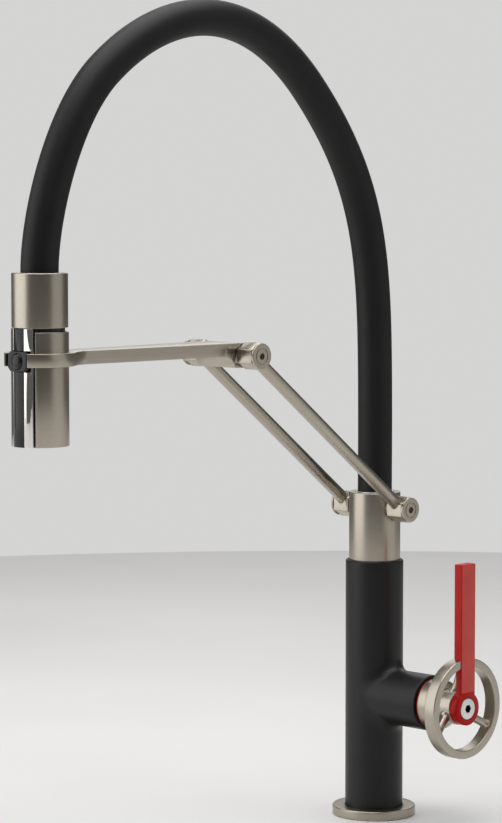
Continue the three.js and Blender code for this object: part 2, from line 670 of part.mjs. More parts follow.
// ---- hose ----
function hosePath() {
	const path = new THREE.CurvePath();
	const place = (knot) => new THREE.Vector3(0, knot.y, knot.z);
	const heading = (knot) => {
		const a = THREE.MathUtils.degToRad(knot.heading);
		return new THREE.Vector3(0, -Math.cos(a), Math.sin(a));
	};
	for (let i = 1; i < HOSE_KNOTS.length; i += 1) {
		const [from, to] = [HOSE_KNOTS[i - 1], HOSE_KNOTS[i]];
		const leave = place(from).addScaledVector(heading(from), from.after);
		const arrive = place(to).addScaledVector(heading(to), -to.before);
		path.add(new THREE.CubicBezierCurve3(place(from), leave, arrive, place(to)));
	}
	return path;
}

function circle(radius, sides) {
	return regularPolygon(sides, radius, 0).map(([x, y]) => new THREE.Vector2(x, y));
}

function pipe(path, radius, bore, sides, steps) {
	const shape = new THREE.Shape(circle(radius, sides));
	shape.holes.push(new THREE.Path(circle(bore, sides).reverse()));
	return toSolid(new THREE.ExtrudeGeometry(shape, { steps, bevelEnabled: false, extrudePath: path }));
}

const HOSE_STEPS = 34;
add('spout_hose', pipe(hosePath(), HOSE.radius, HOSE.bore, COARSE, HOSE_STEPS), BLACK);
add('water_line', pipe(hosePath(), HOSE.lineRadius, HOSE.lineBore, 8, HOSE_STEPS), WHITE_PLASTIC);

export default faucet;
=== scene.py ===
import json
import math

import bmesh
import bpy
import numpy as np
from mathutils import Matrix, Vector


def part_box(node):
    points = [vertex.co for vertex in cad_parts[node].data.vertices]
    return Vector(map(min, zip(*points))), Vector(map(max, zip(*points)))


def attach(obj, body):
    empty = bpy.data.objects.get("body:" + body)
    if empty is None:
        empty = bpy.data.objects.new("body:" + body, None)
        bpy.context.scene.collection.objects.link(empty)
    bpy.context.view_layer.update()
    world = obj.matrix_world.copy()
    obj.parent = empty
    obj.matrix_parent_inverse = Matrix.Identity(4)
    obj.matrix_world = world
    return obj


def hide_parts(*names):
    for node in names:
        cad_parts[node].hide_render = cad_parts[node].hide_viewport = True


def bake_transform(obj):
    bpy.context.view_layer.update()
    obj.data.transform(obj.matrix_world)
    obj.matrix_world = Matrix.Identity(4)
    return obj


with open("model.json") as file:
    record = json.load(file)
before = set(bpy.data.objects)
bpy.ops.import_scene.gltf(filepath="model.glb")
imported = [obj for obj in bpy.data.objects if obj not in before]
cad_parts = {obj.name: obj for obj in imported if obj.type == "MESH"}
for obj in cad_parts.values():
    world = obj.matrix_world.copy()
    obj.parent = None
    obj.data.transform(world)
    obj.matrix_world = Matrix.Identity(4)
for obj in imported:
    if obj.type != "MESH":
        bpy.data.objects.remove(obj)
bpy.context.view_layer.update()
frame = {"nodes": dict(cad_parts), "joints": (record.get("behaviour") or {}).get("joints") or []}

MM = 0.001
SIDES = 96  # around the large turned pieces
SMALL_SIDES = 48  # around the small turned pieces
SHARP_ANGLE = math.radians(35)  # edges sharper than this keep their crease in shading

LENGTHWISE = {
    "x": Matrix(((0, 0, 1), (1, 0, 0), (0, 1, 0))).to_4x4(),
    "y": Matrix(((1, 0, 0), (0, 0, 1), (0, -1, 0))).to_4x4(),
    "z": Matrix.Identity(4),
}


def span(node):
    """Lowest and highest corner of a CAD node, in millimetres."""
    low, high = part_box(node)
    return low / MM, high / MM


def middle(node):
    low, high = span(node)
    return (low + high) / 2


def pivot_of(joint):
    found = next(j for j in frame["joints"] if j["name"] == joint)
    return Vector(found["pos_m"]) / MM


HANDLE_AXIS = pivot_of("lever_turn")
LOWER_PIVOT = pivot_of("link_tilt")
UPPER_PIVOT = pivot_of("arm_tilt")
SPRAY_AXIS = Vector((0, middle("spray_collar").y, 0))
HANDLE_CENTRE = (0, 0, HANDLE_AXIS.z)


# ---- meshes: outlines, turned pieces, extruded pieces, joining and cutting ----
def soften(corners, steps=6, closed=True):
    """An outline of (u, v, radius) corners, each corner rounded by an arc of its radius."""
    points = []
    count = len(corners)
    for i, (u, v, radius) in enumerate(corners):
        here = Vector((u, v))
        if radius == 0 or (not closed and i in (0, count - 1)):
            points.append((u, v))
            continue
        back = (Vector(corners[i - 1][:2]) - here).normalized()
        ahead = (Vector(corners[(i + 1) % count][:2]) - here).normalized()
        half = back.angle(ahead) / 2
        centre = here + (back + ahead).normalized() * (radius / math.sin(half))
        start = here + back * (radius / math.tan(half)) - centre
        end = here + ahead * (radius / math.tan(half)) - centre
        turn = math.atan2(start.x * end.y - start.y * end.x, start.dot(end))
        for k in range(steps + 1):
            a = turn * k / steps
            x = start.x * math.cos(a) - start.y * math.sin(a)
            y = start.x * math.sin(a) + start.y * math.cos(a)
            points.append((centre.x + x, centre.y + y))
    return points


def arc(cx, cy, radius, start, end, steps):
    """Points on an arc, angles in degrees."""
    angles = [math.radians(start + (end - start) * i / steps) for i in range(steps + 1)]
    return [(cx + radius * math.cos(a), cy + radius * math.sin(a)) for a in angles]


def finish_mesh(name, bm):
    """A new object from a mesh in millimetres, smooth but for its sharp edges."""
    bmesh.ops.recalc_face_normals(bm, faces=bm.faces)
    bm.transform(Matrix.Scale(MM, 4))
    mesh = bpy.data.meshes.new(name)
    bm.to_mesh(mesh)
    bm.free()
    obj = bpy.data.objects.new(name, mesh)
    bpy.context.scene.collection.objects.link(obj)
    crease(obj)
    return obj


def crease(obj):
    obj.data.shade_smooth()
    obj.data.set_sharp_from_angle(angle=SHARP_ANGLE)


def turned(name, profile, axis="z", centre=(0, 0, 0), sides=SIDES, place=None):
    """A profile of (radius, height) points turned about an axis through centre."""
    bm = bmesh.new()
    rings = []
    for radius, height in profile:
        if radius < 1e-6:
            rings.append([bm.verts.new((0, 0, height))])
            continue
        angles = [2 * math.pi * i / sides for i in range(sides)]
        rings.append([bm.verts.new((radius * math.cos(a), radius * math.sin(a), height)) for a in angles])
    pairs = list(zip(rings, rings[1:]))
    if profile[0][0] > 1e-6:
        pairs.append((rings[-1], rings[0]))
    for low, high in pairs:
        for i in range(sides):
            j = (i + 1) % sides
            corners = [low[i % len(low)], low[j % len(low)], high[j % len(high)], high[i % len(high)]]
            corners = list(dict.fromkeys(corners))
            if len(corners) > 2:
                bm.faces.new(corners)
    bm.transform(Matrix.Translation(centre) @ (place or LENGTHWISE[axis]))
    return finish_mesh(name, bm)


def cylinder(name, radius, low, high, axis="z", centre=(0, 0, 0), sides=SIDES):
    return turned(name, [(0, low), (radius, low), (radius, high), (0, high)], axis, centre, sides)


def bridge(bm, first, second):
    """The faces between two closed rings of points."""
    count = len(first)
    for i in range(count):
        j = (i + 1) % count
        bm.faces.new((first[i], first[j], second[j], second[i]))


def extruded(name, outline, start, end, axis="z"):
    """A flat outline pulled along an axis: (x, y) along z, (y, z) along x, or (x, -z) along y."""
    bm = bmesh.new()
    bottom = [bm.verts.new((u, v, start)) for u, v in outline]
    top = [bm.verts.new((u, v, end)) for u, v in outline]
    bm.faces.new(bottom[::-1])
    bm.faces.new(top)
    bridge(bm, bottom, top)
    bm.transform(LENGTHWISE[axis])
    return finish_mesh(name, bm)


def block(name, low, high):
    outline = [(low[0], low[1]), (high[0], low[1]), (high[0], high[1]), (low[0], high[1])]
    return extruded(name, outline, low[2], high[2])


def settle(obj):
    """Applies the piece's modifiers to its mesh."""
    graph = bpy.context.evaluated_depsgraph_get()
    made = bpy.data.meshes.new_from_object(obj.evaluated_get(graph))
    obj.modifiers.clear()
    obj.data = made
    crease(obj)
    return obj


def combine(obj, *others, how="DIFFERENCE"):
    """Cuts the others out of obj, or joins them to it; the others are used up."""
    for other in others:
        modifier = obj.modifiers.new("combine", "BOOLEAN")
        modifier.operation = how
        modifier.solver = "EXACT"
        modifier.object = other
        settle(obj)
        bpy.data.objects.remove(other)
    return obj


def bevel(obj, width, segments=3, limit=30):
    """Rounds the piece's sharp edges; width is in millimetres."""
    modifier = obj.modifiers.new("bevel", "BEVEL")
    modifier.width = width * MM
    modifier.segments = segments
    modifier.limit_method = "ANGLE"
    modifier.angle_limit = math.radians(limit)
    modifier.harden_normals = True
    modifier.use_clamp_overlap = True
    weighted = obj.modifiers.new("normals", "WEIGHTED_NORMAL")
    weighted.keep_sharp = True
    return settle(obj)


def hexagon(radius, centre=(0, 0), turn=0):
    return arc(centre[0], centre[1], radius, turn, turn + 360, 6)[:6]


# ---- materials ----
class Shader:
    """A procedural material on one principled shader, with small helpers to add nodes."""

    def __init__(self, name, metallic=0.0):
        self.material = bpy.data.materials.new(name)
        self.material.use_nodes = True
        self.nodes = self.material.node_tree.nodes
        self.links = self.material.node_tree.links
        self.main = self.nodes["Principled BSDF"]
        self.main.inputs["Metallic"].default_value = metallic
        self.coords = self.nodes.new("ShaderNodeTexCoord")

    def scaled(self, scale):
        mapping = self.nodes.new("ShaderNodeMapping")
        mapping.inputs["Scale"].default_value = scale
        self.links.new(self.coords.outputs["Object"], mapping.inputs["Vector"])
        return mapping.outputs["Vector"]

    def around(self, axis, centre, fine, coarse):
        """Coordinates that run quickly across the brushing of a turned piece and slowly along it."""
        offset = self.nodes.new("ShaderNodeVectorMath")
        offset.operation = "SUBTRACT"
        offset.inputs[1].default_value = Vector(centre) * MM
        self.links.new(self.coords.outputs["Object"], offset.inputs[0])
        parts = self.parts(offset.outputs[0])
        along = "XYZ".index(axis.upper())
        u, v = [parts[i] for i in range(3) if i != along]
        squares = self.calculate("ADD", self.calculate("MULTIPLY", u, u), self.calculate("MULTIPLY", v, v))
        radius = self.calculate("POWER", squares, 0.5)
        angle = self.calculate("ARCTAN2", u, v)
        place = self.nodes.new("ShaderNodeCombineXYZ")
        self.links.new(self.calculate("MULTIPLY", radius, fine), place.inputs[0])
        self.links.new(self.calculate("MULTIPLY", parts[along], fine), place.inputs[1])
        self.links.new(self.calculate("MULTIPLY", angle, coarse), place.inputs[2])
        return place.outputs[0]

    def parts(self, source):
        """The X, Y and Z of a vector."""
        node = self.nodes.new("ShaderNodeSeparateXYZ")
        self.links.new(source, node.inputs[0])
        return node.outputs

    def calculate(self, operation, first, second):
        node = self.nodes.new("ShaderNodeMath")
        node.operation = operation
        for socket, value in zip(node.inputs, (first, second)):
            if isinstance(value, (int, float)):
                socket.default_value = value
            else:
                self.links.new(value, socket)
        return node.outputs[0]

    def noise(self, vector, scale=1.0, detail=3.0):
        node = self.nodes.new("ShaderNodeTexNoise")
        node.inputs["Scale"].default_value = scale
        node.inputs["Detail"].default_value = detail
        self.links.new(vector, node.inputs["Vector"])
        return node.outputs["Fac"]

    def clouds(self, scale, detail):
        return self.noise(self.scaled((1, 1, 1)), scale, detail)

    def ramp(self, factor, low, high):
        """A number that runs from low to high as the noise does."""
        node = self.nodes.new("ShaderNodeMapRange")
        node.inputs["From Min"].default_value = 0.3
        node.inputs["From Max"].default_value = 0.7
        node.inputs["To Min"].default_value = low
        node.inputs["To Max"].default_value = high
        self.links.new(factor, node.inputs["Value"])
        return node.outputs["Result"]

    def mix(self, factor, first, second):
        node = self.nodes.new("ShaderNodeMix")
        node.data_type = "RGBA"
        self.links.new(factor, node.inputs[0])
        for socket, colour in ((node.inputs[6], first), (node.inputs[7], second)):
            if isinstance(colour, tuple):
                socket.default_value = (*colour, 1)
            else:
                self.links.new(colour, socket)
        return node.outputs[2]

    def colour(self, source):
        self.links.new(source, self.main.inputs["Base Color"])

    def roughness(self, source):
        self.links.new(source, self.main.inputs["Roughness"])

    def bump(self, height, distance, strength=1.0):
        """Raises the surface; distance is in millimetres."""
        node = self.nodes.new("ShaderNodeBump")
        node.inputs["Distance"].default_value = distance * MM
        node.inputs["Strength"].default_value = strength
        self.links.new(height, node.inputs["Height"])
        self.links.new(node.outputs["Normal"], self.main.inputs["Normal"])

    def setting(self, name, value):
        self.main.inputs[name].default_value = value


NICKEL_LIGHT = (0.45, 0.41, 0.345)
NICKEL_DARK = (0.405, 0.368, 0.308)


def brushed(name, grain, roughness=(0.29, 0.33), colours=(NICKEL_DARK, NICKEL_LIGHT)):
    """Brushed metal; grain is called with the shader and gives the coordinates of the brushing."""
    shader = Shader(name, metallic=1.0)
    lines = shader.noise(grain(shader), detail=4.0)
    clouds = shader.clouds(60, 2.0)
    tone = shader.calculate("ADD", lines, shader.calculate("MULTIPLY", clouds, 0.15))
    shader.colour(shader.mix(shader.ramp(tone, 0, 1), *colours))
    shader.roughness(shader.ramp(lines, *roughness))
    return shader.material


def turned_nickel(name, axis, centre):
    return brushed(name, lambda shader: shader.around(axis, centre, fine=2600, coarse=6))


def straight_nickel(name, scale):
    return brushed(name, lambda shader: shader.scaled(scale))


def silicone_black():
    """The hose's smooth silicone sheath: nearly black, with a broad soft sheen and faint mould haze."""
    shader = Shader("hose_silicone")
    haze = shader.clouds(26, 4.0)
    skin = shader.clouds(2600, 3.0)
    shader.colour(shader.mix(shader.ramp(haze, 0, 1), (0.0045, 0.0045, 0.0048), (0.0075, 0.0075, 0.0078)))
    shader.roughness(shader.ramp(skin, 0.46, 0.58))
    shader.setting("Specular IOR Level", 0.28)
    shader.setting("Sheen Weight", 0.02)
    shader.bump(skin, 0.015, 0.4)
    return shader.material


def polished_metal(name, colours, roughness, socket_shade_x=None):
    """Polished or satin metal; when an x is given, all of the piece below it, in millimetres, is painted
    near-black as painted shade inside a socket.
    """
    shader = Shader(name, metallic=1.0)
    smudge = shader.clouds(120, 4.0)
    colour = shader.mix(shader.ramp(smudge, 0, 1), *colours)
    if socket_shade_x is not None:
        place = shader.parts(shader.coords.outputs["Object"])
        # painted shade: all below this x is coloured near-black in place of the shade inside the socket
        painted_socket_shade = shader.calculate("LESS_THAN", place[0], socket_shade_x * MM)
        colour = shader.mix(painted_socket_shade, colour, (0.012, 0.012, 0.012))
    shader.colour(colour)
    shader.roughness(shader.ramp(smudge, *roughness))
    return shader.material


def moulded(name, colours, roughness, grain=2400, specular=0.5, patches=(90, 2.0), texture=(0.01, 0.4)):
    """Plastic, rubber or powder coat: slightly uneven colour, and a fine texture of some height and strength."""
    shader = Shader(name)
    skin = shader.clouds(grain, 2.0)
    clouds = shader.clouds(*patches)
    shader.colour(shader.mix(shader.ramp(clouds, 0, 1), *colours))
    shader.roughness(shader.ramp(skin, *roughness))
    shader.setting("Specular IOR Level", specular)
    shader.bump(skin, *texture)
    return shader.material


def red_lacquer(name, hub_top):
    """Satin red lacquer, with a painted reflection: the bar's broad front face above the hub is a pale coral
    that stands in for the light it reflects; the rest is a full red.
    """
    shader = Shader(name)
    clouds = shader.clouds(70, 3.0)
    peel = shader.clouds(3800, 2.0)
    full = shader.mix(shader.ramp(clouds, 0, 1), (0.40, 0.005, 0.004), (0.48, 0.007, 0.006))
    # painted reflection: a pale coral for the bar's front face above the hub, in place of the lamp that face
    # reflects
    painted_reflection_coral = shader.mix(shader.ramp(clouds, 0, 1), (0.56, 0.075, 0.062), (0.62, 0.090, 0.075))
    place = shader.parts(shader.coords.outputs["Object"])
    facing = shader.parts(shader.coords.outputs["Normal"])
    # where the painted reflection goes: faces turned to the front, above the hub
    above = shader.calculate("GREATER_THAN", place[2], hub_top * MM)
    front = shader.calculate("GREATER_THAN", facing[0], 0.97)
    shader.colour(shader.mix(shader.calculate("MULTIPLY", above, front), full, painted_reflection_coral))
    shader.roughness(shader.ramp(peel, 0.26, 0.36))
    shader.setting("Specular IOR Level", 0.14)
    shader.setting("Coat Weight", 0.04)
    shader.setting("Coat Roughness", 0.2)
    shader.bump(peel, 0.006, 0.4)
    return shader.material


WHITE = ((0.78, 0.77, 0.73), (0.84, 0.83, 0.80))
POWDER = ((0.0055, 0.0055, 0.0058), (0.0085, 0.0085, 0.0088))
BLACK = ((0.006, 0.006, 0.007), (0.011, 0.011, 0.012))
STEEL = ((0.70, 0.70, 0.69), (0.80, 0.80, 0.79))
STEEL_ROUGHNESS = (0.26, 0.34)
BRASS = ((0.60, 0.43, 0.19), (0.72, 0.54, 0.27))


def paint(obj, material):
    obj.data.materials.clear()
    obj.data.materials.append(material)
    return obj


def fit(obj, body, slot, material, *nodes):
    """Gives a piece its material, its body and the CAD nodes that it stands for."""
    paint(obj, material)
    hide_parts(*nodes)
    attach(obj, body)
    return obj


# ---- base and column ----
COLUMN_RADIUS = -span("body_column")[0].x
COLUMN_TOP = span("body_column")[1].z
OUTLET_END = span("body_column")[1].x
OUTLET_RADIUS = 19.8
COLUMN_BORE = 16.5
OUTLET_BORE = 16.4
COLLAR_SEAT_DEPTH = 1.8
SLEEVE_DEPTH = 26.0
SLEEVE_BORE = 17.2
COLLAR_SEAT_RADIUS = 19.05
COLUMN_LIP = 1.6
OUTLET_EDGE = 0.6
OUTLET_START = 4.0  # the outlet counts from this far out from the column's axis
FLANGE_GAP = 0.3  # between the flange and the column
GROOVE_INNER = 22.4  # the gasket's groove, under the flange
GROOVE_OUTER = 27.5
GROOVE_DEPTH = 2.1
FILLET = 8.0  # where the outlet meets the column, above and below
SIDE_FILLET = 2.0  # where it meets the column's sides


def make_flange():
    high = span("base_flange")[1]
    radius, height = high.x, high.z
    inner = COLUMN_RADIUS + FLANGE_GAP
    profile = soften([
        (inner, 0, 0), (GROOVE_INNER, 0, 0), (GROOVE_INNER, GROOVE_DEPTH, 0), (GROOVE_OUTER, GROOVE_DEPTH, 0),
        (GROOVE_OUTER, 0, 0), (radius, 0, 0.3), (radius, height, 0.9), (inner, height, 0.3),
    ])
    flange = turned("flange", profile)
    fit(flange, "column", "brushed_nickel", turned_nickel("nickel_flange", "z", (0, 0, 0)), "base_flange")


def outlet_distance(points):
    """How far each point is outside the column and its outlet, which meet in a rounded corner."""
    x, y, z = points.T
    rise = z - HANDLE_AXIS.z
    column = np.hypot(x, y) - COLUMN_RADIUS
    outlet = np.maximum(np.hypot(y, rise) - OUTLET_RADIUS, OUTLET_START - x)
    steep = np.sin(np.arctan2(rise, y)) ** 2
    corner = SIDE_FILLET + (FILLET - SIDE_FILLET) * steep
    inside = np.hypot(np.maximum(corner - column, 0), np.maximum(corner - outlet, 0))
    return np.maximum(corner, np.minimum(column, outlet)) - inside


def onto_surface(points, rounds=14, step=1e-3, least_slope=0.2):
    """Moves points onto the surface where outlet_distance is zero."""
    moved = np.array(points, float)
    for _ in range(rounds):
        value = outlet_distance(moved)
        slopes = [
            (outlet_distance(moved + step * axis) - outlet_distance(moved - step * axis)) / (2 * step)
            for axis in np.eye(3)
        ]
        slope = np.stack(slopes, 1)
        moved -= value[:, None] * slope / np.maximum((slope ** 2).sum(1), least_slope)[:, None]
    return moved


WINDOW_COLUMNS = 30  # half the columns of the patch round the outlet, of SIDES in all
WINDOW_ROWS = 36
WINDOW_HALF_HEIGHT = 42.0
ROWS_BELOW = 6
ROWS_ABOVE = 8
PATCH_RINGS = 16
NECK_RINGS = 16
CROWDING = 1.6  # draws the rings together where the outlet meets the column


def column_grid(bm, levels, window_low, window_high):
    """The column's rows of points, with a window left open round the outlet."""
    grid = {}
    for row, (radius, z) in enumerate(levels):
        for i in range(SIDES):
            column = i if i <= SIDES // 2 else i - SIDES
            if window_low < row < window_high and abs(column) < WINDOW_COLUMNS:
                continue
            angle = 2 * math.pi * i / SIDES
            grid[row, i] = bm.verts.new((radius * math.cos(angle), radius * math.sin(angle), z))
    for row in range(len(levels) - 1):
        for i in range(SIDES):
            j = (i + 1) % SIDES
            corners = [(row, i), (row, j), (row + 1, j), (row + 1, i)]
            open_row = window_low <= row < window_high
            in_window = min(i, SIDES - i) <= WINDOW_COLUMNS and min(j, SIDES - j) <= WINDOW_COLUMNS
            if open_row and in_window:
                continue
            bm.faces.new([grid[c] for c in corners])
    return grid


def window_loop(grid, window_low, window_high):
    """The points round the open window, anticlockwise seen from outside."""
    across = range(-WINDOW_COLUMNS, WINDOW_COLUMNS)
    rows = range(window_low, window_high)
    keys = [(window_low, c) for c in across]
    keys += [(row, WINDOW_COLUMNS) for row in rows]
    keys += [(window_high, -c) for c in across]
    keys += [(window_high + window_low - row, -WINDOW_COLUMNS) for row in rows]
    return [grid[row, column % SIDES] for row, column in keys]


def outlet_rings(bm, edge):
    """Rings of points from the window's edge to the outlet's foot, then along it to its rounded end."""
    turn_limit = 2 * math.pi * WINDOW_COLUMNS / SIDES
    ends = np.array([(math.atan2(v.co.y, v.co.x), v.co.z) for v in edge])
    around = np.arctan2((ends[:, 1] - HANDLE_AXIS.z) / WINDOW_HALF_HEIGHT, ends[:, 0] / turn_limit)
    across = OUTLET_RADIUS * np.cos(around)
    rise = HANDLE_AXIS.z + OUTLET_RADIUS * np.sin(around)
    feet = np.stack([np.arcsin(across / COLUMN_RADIUS), rise], 1)
    rings = [edge]
    for i in range(1, PATCH_RINGS + 1):
        share = (1 - i / PATCH_RINGS) ** CROWDING
        turn, height = (feet + (ends - feet) * share).T
        points = np.stack([COLUMN_RADIUS * np.cos(turn), COLUMN_RADIUS * np.sin(turn), height], 1)
        rings.append([bm.verts.new(p) for p in onto_surface(points)])
    start = COLUMN_RADIUS * np.cos(feet[:, 0])
    for i in range(1, NECK_RINGS + 1):
        x = start + (OUTLET_END - OUTLET_EDGE - start) * (i / NECK_RINGS) ** CROWDING
        points = onto_surface(np.stack([x, across, feet[:, 1]], 1))
        rings.append([bm.verts.new(p) for p in points])
    rounding = arc(OUTLET_END - OUTLET_EDGE, OUTLET_RADIUS - OUTLET_EDGE, OUTLET_EDGE, 90, 0, 4)
    for x, radius in rounding[1:]:
        points = [(x, radius * math.cos(a), HANDLE_AXIS.z + radius * math.sin(a)) for a in around]
        rings.append([bm.verts.new(p) for p in points])
    return rings


def column_skin():
    """The closed outer skin of the column and its side outlet, as one smooth body."""
    lip = arc(COLUMN_RADIUS - COLUMN_LIP, COLUMN_TOP - COLUMN_LIP, COLUMN_LIP, 0, 90, 8)
    shares = [2 * i / WINDOW_ROWS - 1 for i in range(WINDOW_ROWS + 1)]
    window = [HANDLE_AXIS.z + WINDOW_HALF_HEIGHT * share for share in shares]
    below = [window[0] * i / ROWS_BELOW for i in range(ROWS_BELOW)]
    above = [window[-1] + (lip[0][1] - window[-1]) * i / ROWS_ABOVE for i in range(1, ROWS_ABOVE)]
    levels = [(COLUMN_RADIUS, z) for z in (*below, *window, *above)] + lip
    window_low, window_high = len(below), len(below) + WINDOW_ROWS
    bm = bmesh.new()
    grid = column_grid(bm, levels, window_low, window_high)
    bm.faces.new([grid[0, i] for i in range(SIDES)][::-1])
    bm.faces.new([grid[len(levels) - 1, i] for i in range(SIDES)])
    rings = outlet_rings(bm, window_loop(grid, window_low, window_high))
    for first, second in zip(rings, rings[1:]):
        bridge(bm, first, second)
    bm.faces.new(rings[-1])
    return finish_mesh("column", bm)


def make_column():
    column = column_skin()
    seat = COLUMN_TOP - COLLAR_SEAT_DEPTH
    sleeve = COLUMN_TOP - SLEEVE_DEPTH
    hollow = turned("hollow", [
        (0, -1), (COLUMN_BORE, -1), (COLUMN_BORE, sleeve), (SLEEVE_BORE, sleeve), (SLEEVE_BORE, seat),
        (COLLAR_SEAT_RADIUS, seat), (COLLAR_SEAT_RADIUS, COLUMN_TOP + 1), (0, COLUMN_TOP + 1),
    ])
    side_bore = cylinder("side_bore", OUTLET_BORE, 1, OUTLET_END + 1, "x", HANDLE_CENTRE)
    combine(column, hollow, side_bore)
    coat = moulded("powder_coat", POWDER, (0.36, 0.46), 5200, 0.34, patches=(45, 3.0), texture=(0.02, 0.5))
    fit(column, "column", "matte_black", coat, "body_column")


def turned_on_handle(name, profile, sides=SIDES):
    return turned(name, profile, axis="x", centre=HANDLE_CENTRE, sides=sides)


BONNET_BORE = 4.7
BONNET_FRONT = 12.6
BONNET_CROWN = 1.6
BAND_BORE = 13.0
BAND_INSET = 0.5  # the red band is drawn this much smaller than its CAD node, so that less of it shows


def make_bonnet():
    low, high = span("bonnet")
    radius = high.y
    profile = soften([
        (BONNET_BORE, low.x, 0.2), (radius, low.x, 0.35), (radius, high.x - BONNET_CROWN, 4.5),
        (BONNET_FRONT, high.x, 1.2), (BONNET_BORE, high.x, 0.3),
    ], steps=10)
    bonnet = turned_on_handle("bonnet_cap", profile)
    fit(bonnet, "column", "brushed_nickel", turned_nickel("nickel_bonnet", "x", HANDLE_AXIS), "bonnet")


def make_index_ring(red):
    low, high = span("index_ring")
    radius = high.y - BAND_INSET
    profile = soften([
        (BAND_BORE, low.x, 0.1), (radius, low.x, 0.25), (radius, high.x, 0.25), (BAND_BORE, high.x, 0.1),
    ])
    ring = turned_on_handle("index_band", profile)
    fit(ring, "column", "red_lacquer", red, "index_ring")


# ---- side handle ----
SPOKE_ANGLES = (90, -30, -150)
SPOKE_RADIUS = 2.9
SPOKE_START = {"radius": 8.0, "x": 77.0}  # inside the hub
SPOKE_END = {"radius": 32.0, "x": 84.5}  # inside the rim
SPOKE_IN_RIM = 2.6
SPOKE_STEPS = 40
HUB_FLARE = {"extra": 1.9, "fade": 1.5}  # extra radius at this end, and the length over which it fades
RIM_FLARE = {"extra": 0.9, "fade": 1.4}
HUB_RADIUS = 12.2
HUB_FRONT = 82.6
HUB_BORE = 4.4
HUB_BORE_END = 80.1
CAP_HOLE = 2.8
RIM_BORE = 29.8
RIM_DEPTH = 9.5
NOTCH_HALF = 7.5  # the slot in the rim that the lever passes through
NOTCH_X = (84.4, 91.0)
NOTCH_RISE = (20, 38)


def flare(shape, distance):
    return shape["extra"] * math.exp(-max(0, distance) / shape["fade"])


def spoke_end(outward, end):
    return HANDLE_AXIS + outward * end["radius"] + Vector((end["x"], 0, 0))


def make_spoke(angle):
    """One round spoke, flared where it meets the hub and the rim."""
    a = math.radians(angle)
    outward = Vector((0, math.cos(a), math.sin(a)))
    start = spoke_end(outward, SPOKE_START)
    end = spoke_end(outward, SPOKE_END)
    length = (end - start).length
    profile = [(0, 0)]
    for i in range(SPOKE_STEPS + 1):
        along = length * i / SPOKE_STEPS
        hub_side = flare(HUB_FLARE, along - (HUB_RADIUS - SPOKE_START["radius"]))
        rim_side = flare(RIM_FLARE, length - SPOKE_IN_RIM - along)
        profile.append((SPOKE_RADIUS + (hub_side + rim_side), along))
    profile.append((0, length))
    turn = Vector((0, 0, 1)).rotation_difference(end - start).to_matrix().to_4x4()
    return turned("spoke", profile, centre=start, sides=SMALL_SIDES, place=turn)


def make_handwheel():
    low, high = span("handwheel")
    outer = high.y
    back, front = high.x - RIM_DEPTH, high.x
    profile = soften([
        (RIM_BORE, back, 0.7), (outer, back, 0.9), (outer, front, 0.8), (RIM_BORE, front, 0.7),
    ])
    wheel = turned_on_handle("wheel", profile, sides=144)
    hub_profile = soften([
        (0, low.x, 0), (HUB_RADIUS, low.x, 0.8), (HUB_RADIUS, HUB_FRONT, 0.5), (0, HUB_FRONT, 0),
    ], closed=False)
    hub = turned_on_handle("hub", hub_profile)
    combine(wheel, hub, *[make_spoke(angle) for angle in SPOKE_ANGLES], how="UNION")
    before, beyond = 69, 90
    bore = turned_on_handle("bore", [
        (0, before), (HUB_BORE, before), (HUB_BORE, HUB_BORE_END), (CAP_HOLE, HUB_BORE_END),
        (CAP_HOLE, beyond), (0, beyond),
    ], sides=SMALL_SIDES)
    notch = block("notch", (NOTCH_X[0], -NOTCH_HALF, HANDLE_AXIS.z + NOTCH_RISE[0]),
                  (NOTCH_X[1], NOTCH_HALF, HANDLE_AXIS.z + NOTCH_RISE[1]))
    combine(wheel, bore, notch)
    fit(wheel, "handle", "brushed_nickel", turned_nickel("nickel_wheel", "x", HANDLE_AXIS), "handwheel")


LEVER_HUB = 11.8
LEVER_HALF = 7.3
LEVER_FRONT = 5.2  # thickness of the bar where its back is cut away
BAR_START = 16.0  # how far above the axis the bar's straight sides begin
RELIEF_FOOT = 0.6
RELIEF_TOP = {"front": 33.2, "back": 37.6}
CAP_SEAT = 7.8
CAP_CHAMFER = 0.3
CAP_SHANK = 2.2
CAP_BACK = 83.1
CAP_RADIUS = 7.5
CAP_SOCKET = 3.1  # from its centre to a corner
CAP_SOCKET_DEPTH = 4
CAP_SHADE_BELOW = 0.7  # how far under its face the cap is painted near-black, as painted shade in its socket
ABOUT_X = Matrix(((1, 0, 0, 0), (0, 0, -1, 0), (0, 1, 0, 0), (0, 0, 0, 1)))  # a quarter turn


def make_lever():
    low, high = span("lever")
    z = HANDLE_AXIS.z
    join = math.degrees(math.acos(LEVER_HALF / LEVER_HUB))
    outline = arc(0, z, LEVER_HUB, 180 - join, 360 + join, 64)
    outline += soften([
        (LEVER_HALF, z + BAR_START, 0), (LEVER_HALF, high.z, 0.8), (-LEVER_HALF, high.z, 0.8),
        (-LEVER_HALF, z + BAR_START, 0),
    ], closed=False)
    lever = extruded("lever_bar", outline, low.x, high.x, axis="x")
    thin_back = high.x - LEVER_FRONT
    foot = z + LEVER_HUB - RELIEF_FOOT
    relief = extruded("relief", [
        (low.x - 1, foot), (thin_back, foot), (thin_back, z + RELIEF_TOP["front"]),
        (low.x - 1, z + RELIEF_TOP["back"]),
    ], -LEVER_HALF - 1, LEVER_HALF + 1, axis="z")
    relief.data.transform(ABOUT_X)
    combine(lever, relief)
    bevel(lever, 0.45)
    rim = CAP_SEAT + CAP_CHAMFER
    seat = turned_on_handle("seat", [
        (0, low.x - 1), (CAP_SEAT, low.x - 1), (CAP_SEAT, high.x - CAP_CHAMFER), (rim, high.x),
        (rim, high.x + 1), (0, high.x + 1),
    ], sides=SMALL_SIDES)
    combine(lever, seat)
    return fit(lever, "handle", "red_lacquer", red_lacquer("lever_red", z + LEVER_HUB), "lever")


